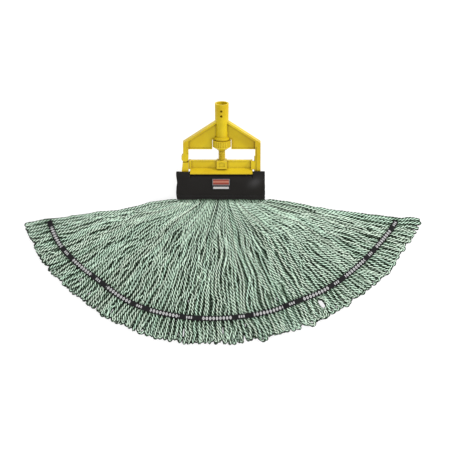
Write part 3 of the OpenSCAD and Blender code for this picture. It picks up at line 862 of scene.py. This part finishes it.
def stitches(name, rows, length, radius):
    """rows are (centres, direction along the stitch, direction off the cloth)."""
    full = [(c, np.broadcast_to(a, c.shape), np.broadcast_to(o, c.shape)) for c, a, o in rows]
    centres, along, off = (np.concatenate(column)[:, None, None, :] for column in zip(*full))
    place, width, lift = STITCH.T[:, None, :, None, None]
    angle = (TURN * np.arange(STITCH_COLS) / STITCH_COLS)[None, None, :, None]
    axis = centres + along * (place * length) + off * (lift * radius)
    spoke = np.cos(angle) * np.cross(along, off) + np.sin(angle) * off
    verts = axis + spoke * (width * radius)
    grid, quads = tube_grid(len(STITCH), STITCH_COLS)
    caps = [grid[0][[3, 2, 1, 0]], grid[0][[0, 5, 4, 3]],
            grid[-1][[0, 1, 2, 3]], grid[-1][[3, 4, 5, 0]]]
    faces = np.concatenate([quads, np.array(caps)])[:, ::-1]
    return make_mesh(name, verts.reshape(-1, 3),
                     repeat_faces(faces, len(centres), grid.size), M_THREAD)


def tape_stitches(centre, tangent, side, dist, ripple):
    """A row of stitches along each edge of the front tape."""
    margin, pitch, edge, lift = 0.004, 0.0042, 0.0047, 0.00042
    at = np.arange(margin, dist[-1] - margin, pitch)

    def sample(vectors):
        return np.stack([np.interp(at, dist, column) for column in vectors.T], 1)

    middle, along, sideways = sample(centre), sample(tangent), sample(side)
    middle[:, 2] = np.interp(at, dist, ripple) + FRONT_TAPE_Z + lift
    rows = [(middle + sideways * e, along, (0, 0, 1.0)) for e in (-edge, edge)]
    ob = stitches("tail_band_top_stitches", rows, **TAPE_STITCH)
    register(ob, "thread", "yarn", "tail_band_stitching")


front_tape = tape("tail_band_front_tape", FRONT_TAPE_Z, 1, np.random.default_rng(5),
                  "tail_band_front")
tape_stitches(*front_tape)
tape("tail_band_rear_tape", REAR_TAPE_Z, -1, np.random.default_rng(6), "tail_band_rear")

# ---------------------------------------------------------------- the headband
# Heights are up the clamp's socket; "face" is 1 for the front and -1 for the rear.
BAND_BOTTOM = -0.066
BAND_HALF = 0.1057
BAND_MID = -0.0024                        # the headband sits a little towards the hinge
FOLD_LEFT, FOLD_RIGHT = -0.0755, 0.0734   # x where the closed fold starts and ends
ARCH_RADIUS = 0.0128                      # of the fold's skin
ARCH_UP = -0.0131                         # height of the fold's centre
SKIN_OUT = 0.0131                         # the flat cloth, from the clamp's middle plane
END_TOPS = {1: 0.0045, -1: -0.0035}       # top of the open ends, by face
END_ROWS = 6
HEM_ROWS = 5


def headband():
    """A folded cloth, arched over between the fold's ends and open beyond them."""
    xs = np.concatenate([
        np.linspace(BAND_MID - BAND_HALF, FOLD_LEFT, 14),
        np.linspace(FOLD_LEFT, FOLD_RIGHT, 56)[1:],
        np.linspace(FOLD_RIGHT, BAND_MID + BAND_HALF, 14)[1:]])
    nx = len(xs)
    left, right = 13, 68                  # columns at the fold's two ends
    hem_top = BAND_BOTTOM + 0.010
    ups = np.concatenate([np.linspace(BAND_BOTTOM, hem_top, HEM_ROWS + 1),
                          np.linspace(hem_top, ARCH_UP, 16)[1:]])
    nu = len(ups)
    arch_angles = np.linspace(0, math.pi, 22)[1:-1]

    rng = np.random.default_rng(31)
    uneven = {face: smooth_noise(nx, nu + 12, 9, 3, rng) for face in (1, -1)}
    edge_left = smooth_noise(1, nu + 12, 1, 4, rng)[0]
    edge_right = smooth_noise(1, nu + 12, 1, 4, rng)[0]
    bottom_edge = smooth_noise(nx, 1, 10, 1, rng)[:, 0]
    verts, ids, faces = [], {}, []

    def put(key, x, out, up):
        ids[key] = len(verts)
        verts.append(clamp_point(x, out, up))

    def x_at(c, k):
        """Columns near the two ends follow a slightly uneven cut edge."""
        f = xs[c] / BAND_HALF
        edge = edge_left[k] if f < 0 else edge_right[k]
        step = 0.0010 * smoothstep((k - 11.0) / 2.0) - 0.0004 if f > 0 else 0.0
        return xs[c] + (0.00065 * edge + step) * abs(f) ** 6 * np.sign(f)

    def skin(c, k, face, up):
        """How far the cloth stands out from the clamp's middle plane."""
        x = xs[c]
        hem = 0.0006 * (1 - smoothstep((up - BAND_BOTTOM - 0.0085) / 0.0012))
        hem += 0.0004 * smoothstep((abs(x) - (BAND_HALF - 0.0055)) / 0.0010)
        height = min(max((up - BAND_BOTTOM) / (ARCH_UP - BAND_BOTTOM), 0), 1)
        swell = math.sin(math.pi * height)
        puff = 0.0010 * swell * (1 - abs(x / BAND_HALF) ** 4)
        flare = 0.0006 * max(0.0, 1 - (up - BAND_BOTTOM) / 0.02) * math.sin(76 * x + 1.3)
        fade = smoothstep((ARCH_UP + 0.004 - up) / 0.014) if FOLD_LEFT < x < FOLD_RIGHT else 1.0
        # the cloth is a little fuller towards the latch end
        full = 0.0016 * bell(x, 0.070, 0.020) * swell ** 2
        return SKIN_OUT + hem + puff + full + (0.0008 * uneven[face][c, k] + flare) * fade

    def end_up(c, k, face, top):
        """Height of a point in the open ends."""
        if c in (left, right):
            # beside the fold the front cloth is pulled down a little, and the rear stretched
            top = ARCH_UP + (top - ARCH_UP) * (0.70 if face > 0 else 1.25)
        if c >= right and face > 0:
            top += 0.0016 * (k + 1) / END_ROWS
        return top

    def quads(face, columns, rows):
        for c in columns:
            for k in rows:
                quad = [ids[(face, c, k)], ids[(face, c + 1, k)],
                        ids[(face, c + 1, k + 1)], ids[(face, c, k + 1)]]
                faces.append(quad[::face])

    for face in (1, -1):
        for c in range(nx):
            for k, up in enumerate(ups):
                out = skin(c, k, face, up)
                if k == nu - 1 and left <= c <= right:
                    out = ARCH_RADIUS + 0.0002
                if k < HEM_ROWS:
                    up = up + 0.0009 * bottom_edge[c] * (1 - k / HEM_ROWS)
                put((face, c, k), x_at(c, k), face * out, up)
    for c in range(left, right + 1):
        for k, angle in enumerate(arch_angles):
            pinch = 0.0003 * math.sin(xs[c] * 210) * math.sin(angle)
            put(("arch", c, k), xs[c], (ARCH_RADIUS + pinch) * math.cos(angle),
                ARCH_UP + (ARCH_RADIUS - 0.0004 + pinch) * math.sin(angle))
    for face in (1, -1):
        tops = np.linspace(ARCH_UP, END_TOPS[face], END_ROWS + 1)[1:]
        for c in [*range(left + 1), *range(right, nx)]:
            for k, top in enumerate(tops):
                out = skin(c, nu + k, face, top) + 0.0004
                put((face, c, nu + k), x_at(c, nu + k), face * out, end_up(c, k, face, top))

    for face in (1, -1):
        quads(face, range(nx - 1), range(nu - 1))
        quads(face, [*range(left), *range(right, nx - 1)], range(nu - 1, nu - 1 + END_ROWS))

    def over_arch(c):
        arch = [ids[("arch", c, k)] for k in range(len(arch_angles))]
        return [ids[(1, c, nu - 1)], *arch, ids[(-1, c, nu - 1)]]

    for c in range(left, right):
        here, beside = over_arch(c), over_arch(c + 1)
        for k in range(len(here) - 1):
            faces.append([here[k], beside[k], beside[k + 1], here[k + 1]])

    ob = make_mesh("headband_shell", np.array(verts), np.array(faces), M_BAND)
    cloth = ob.modifiers.new("cloth", "SOLIDIFY")
    cloth.thickness = 0.0014
    cloth.offset = -1.0
    subdivision = ob.modifiers.new("smooth", "SUBSURF")
    subdivision.levels = 1
    subdivision.render_levels = 1
    subdivision.use_creases = True
    register(ob, "headband_cloth", "gate", "headband_outer", "headband_inner")


def headband_seams():
    """Front and rear: three rows along the lower hem and one up each end."""
    pitch = 0.0036
    hem_rows = ((-0.0625, 0.0021), (-0.0575, 0.0018), (-0.0545, 0.0018))   # up, off the skin
    hem_x = np.arange(-0.1025, 0.1026, pitch) + BAND_MID
    end_x, end_out = 0.1015, 0.0150
    end_ups = np.arange(-0.052, -0.002, pitch)
    rows = []
    for face in (1, -1):
        for up, lift in hem_rows:
            centres = clamp_point(hem_x, face * (SKIN_OUT + lift), up)
            rows.append((centres, (1.0, 0, 0), OUT * face))
        for side in (-1, 1):
            centres = clamp_point(BAND_MID + side * end_x, face * end_out, end_ups)
            rows.append((centres, UP, OUT * face))
    ob = stitches("headband_seams", rows, **SEAM_STITCH)
    register(ob, "thread", "gate", "headband_stitching")


def label():
    """The blank woven label, sewn to the headband's front."""
    mid_x, mid_up = -0.0020, -0.0262
    half_width, half_height = 0.0220, 0.0140
    lift, thick = 0.00185, 0.0007
    cols, rows = 25, 17
    across, height = np.meshgrid(np.linspace(-1, 1, cols), np.linspace(-1, 1, rows),
                                 indexing="ij")
    x = mid_x + half_width * across
    up = mid_up + half_height * height
    ripple = 0.00012 * np.sin(9 * across + 1) * np.cos(7 * height)
    sewn_edge = 0.00015 * (np.abs(across) ** 8 + np.abs(height) ** 8)
    out = SKIN_OUT + lift + ripple - sewn_edge
    verts = [clamp_point(x, out, up).reshape(-1, 3), clamp_point(x, out - thick, up).reshape(-1, 3)]
    n = cols * rows
    grid = np.arange(n).reshape(cols, rows)
    top = np.stack([grid[:-1, :-1], grid[1:, :-1], grid[1:, 1:], grid[:-1, 1:]], -1)
    top = top.reshape(-1, 4)
    rim = np.concatenate([grid[:, 0], grid[-1, 1:], grid[-2::-1, -1], grid[0, -2:0:-1]])
    ahead = np.roll(rim, -1)
    edge = np.stack([ahead, rim, rim + n, ahead + n], 1)
    ob = make_mesh("headband_label_patch", np.concatenate(verts),
                   np.concatenate([top, top[:, ::-1] + n, edge]), M_LABEL,
                   attrs={"lx": np.tile(across.ravel(), 2), "ly": np.tile(height.ravel(), 2)})
    register(ob, "label", "gate", "headband_label")


headband()
headband_seams()
label()

# ---------------------------------------------------------------- floor, lights and camera
FLOOR_HALF = 8.0
FLOOR_CELLS = 8
FLOOR_Z = -0.0003
# Columns: name, place, point aimed at, disk diameter, watts.
LIGHTS = [
    ("key", (3.07, 1.53, 2.24), (0, -0.05, 0.03), 0.83, 107.0),
    ("fill", (0.4, -1.0, 2.4), (0, -0.1, 0.03), 1.6, 12.0),
    ("rim", (-0.5, 1.9, 0.9), (0, 0.1, 0.08), 0.8, 8.0),
]
WORLD_STRENGTH = 0.85
CAMERA_LENS = 200.0
CAMERA_ELEVATION = math.radians(78.0)
CAMERA_DISTANCE = 6.0
CAMERA_TARGET = Vector((0.0076, -0.0542, 0.012))


def floor():
    ticks = np.linspace(-FLOOR_HALF, FLOOR_HALF, FLOOR_CELLS + 1)
    row = FLOOR_CELLS + 1
    verts = [(x, y, FLOOR_Z) for y in ticks for x in ticks]
    corners = [j * row + i for j in range(FLOOR_CELLS) for i in range(FLOOR_CELLS)]
    faces = [(a, a + 1, a + row + 1, a + row) for a in corners]
    make_mesh("floor", verts, faces, floor_material(), smooth_shade=False)


def place_facing(ob, at, aim):
    bpy.context.scene.collection.objects.link(ob)
    ob.location = at
    ob.rotation_euler = (Vector(aim) - Vector(at)).to_track_quat("-Z", "Y").to_euler()


def area_light(name, at, aim, size, power):
    light = bpy.data.lights.new(name, "AREA")
    light.shape = "DISK"
    light.size = size
    light.energy = power
    place_facing(bpy.data.objects.new(name, light), at, aim)


def studio_world():
    world = bpy.data.worlds.new("studio")
    bpy.context.scene.world = world
    world.use_nodes = True
    background = world.node_tree.nodes["Background"]
    background.inputs["Color"].default_value = rgba(1.0, 1.0, 1.0)
    background.inputs["Strength"].default_value = WORLD_STRENGTH


def camera():
    data = bpy.data.cameras.new("camera")
    data.lens = CAMERA_LENS
    ob = bpy.data.objects.new("camera", data)
    back = Vector((0.0, -math.cos(CAMERA_ELEVATION), math.sin(CAMERA_ELEVATION)))
    place_facing(ob, CAMERA_TARGET + back * CAMERA_DISTANCE, CAMERA_TARGET)
    bpy.context.scene.camera = ob


floor()
studio_world()
for light_row in LIGHTS:
    area_light(*light_row)
camera()
bpy.context.scene.view_settings.view_transform = "Standard"

bpy.context.view_layer.update()
